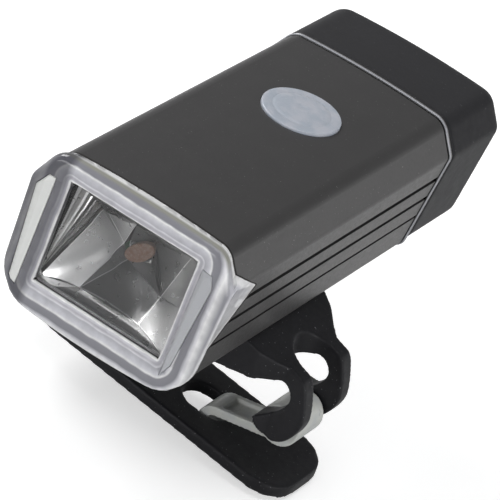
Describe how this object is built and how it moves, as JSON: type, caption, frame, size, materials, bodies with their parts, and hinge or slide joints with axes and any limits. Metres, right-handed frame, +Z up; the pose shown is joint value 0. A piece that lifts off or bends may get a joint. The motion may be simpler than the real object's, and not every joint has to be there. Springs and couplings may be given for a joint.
{
  "type": "bike light",
  "caption": "Handlebar light: six-sided metal sleeve, clear rectangular lens, top push button, pull-off rear cap, swivelling silicone saddle with a hooked strap.",
  "frame": {"origin": "contact point of the saddle's seat with the handlebar, on the swivel axis", "axes": "+Y from the lens to the rear cap along the light, +Z up through the light, +X across towards the clip"},
  "size_m": [0.0536, 0.0903, 0.0539],
  "materials": {
    "shell": "black anodised, satin",
    "lens": "clear polycarbonate, polished",
    "light_guide": "translucent white",
    "seal": "soft rubber",
    "reflector": "mirror coated plastic",
    "circuit_board": "solder resist",
    "led": "phosphor",
    "heat_sink": "plain machined",
    "steel": "plain",
    "wire": "insulated wire",
    "inner_plastic": "moulded",
    "cell": "wrapped",
    "foam": "foam",
    "nickel": "nickel strip",
    "component": "moulded",
    "port": "stamped",
    "button": "translucent silicone",
    "rear_plastic": "glossy black",
    "cap": "soft touch black",
    "swivel": "moulded",
    "brass": "plain",
    "silicone": "matt silicone",
    "clip": "translucent"
  },
  "bodies": {
    "lamp": {"housing_shell": "shell", "front_lens": "lens", "light_guide_left": "light_guide", "light_guide_right": "light_guide", "lens_gasket": "seal", "reflector": "reflector", "led_board": "circuit_board", "led_emitter": "led", "heat_sink": "heat_sink", "led_board_screws": "steel", "led_leads": "wire", "inner_frame": "inner_plastic", "battery_cell": "cell", "battery_pad": "foam", "battery_tabs": "nickel", "main_board": "circuit_board", "board_screws": "steel", "driver_chip": "component", "driver_coil": "component", "indicator_leds": "led", "charge_port": "port", "button_frame": "inner_plastic", "switch_body": "component", "rear_frame": "rear_plastic", "cap_seal": "seal", "rear_screws": "steel", "swivel_plate": "swivel", "friction_ring": "swivel", "pivot_nut": "brass", "pivot_screw": "steel", "pivot_washer": "steel"},
    "button": {"power_button": "button"},
    "plunger": {"switch_plunger": "component"},
    "cap": {"rear_cap": "cap"},
    "bracket": {"saddle_bracket": "silicone", "swivel_core": "swivel", "strap": "silicone", "clip_pin": "steel"},
    "clip": {"hook_clip": "clip"}
  },
  "joints": [
    {"name": "button_press", "type": "slide", "parent": "lamp", "child": "button", "axis": [0, 0, -1], "range_m": [0, 0.0005], "stiffness_N_per_m": 800, "springref_m": -0.0005},
    {"name": "plunger_press", "type": "slide", "parent": "lamp", "child": "plunger", "axis": [0, 0, -1], "range_m": [0, 0.0005]},
    {"name": "cap_pull", "type": "slide", "parent": "lamp", "child": "cap", "axis": [0, 1, 0], "range_m": [0, 0.012]},
    {"name": "bracket_swivel", "type": "hinge", "parent": "lamp", "child": "bracket", "pos_m": [0, 0, 0], "axis": [0, 0, 1], "continuous": true},
    {"name": "hook_swing", "type": "hinge", "parent": "bracket", "child": "clip", "pos_m": [0.0212, 0, -0.0114], "axis": [0, -1, 0], "range_deg": [-5, 35], "deforming": ["strap"]}
  ],
  "couplings": [
    {"joint": "plunger_press", "follows": "button_press", "ratio": 1}
  ]
}
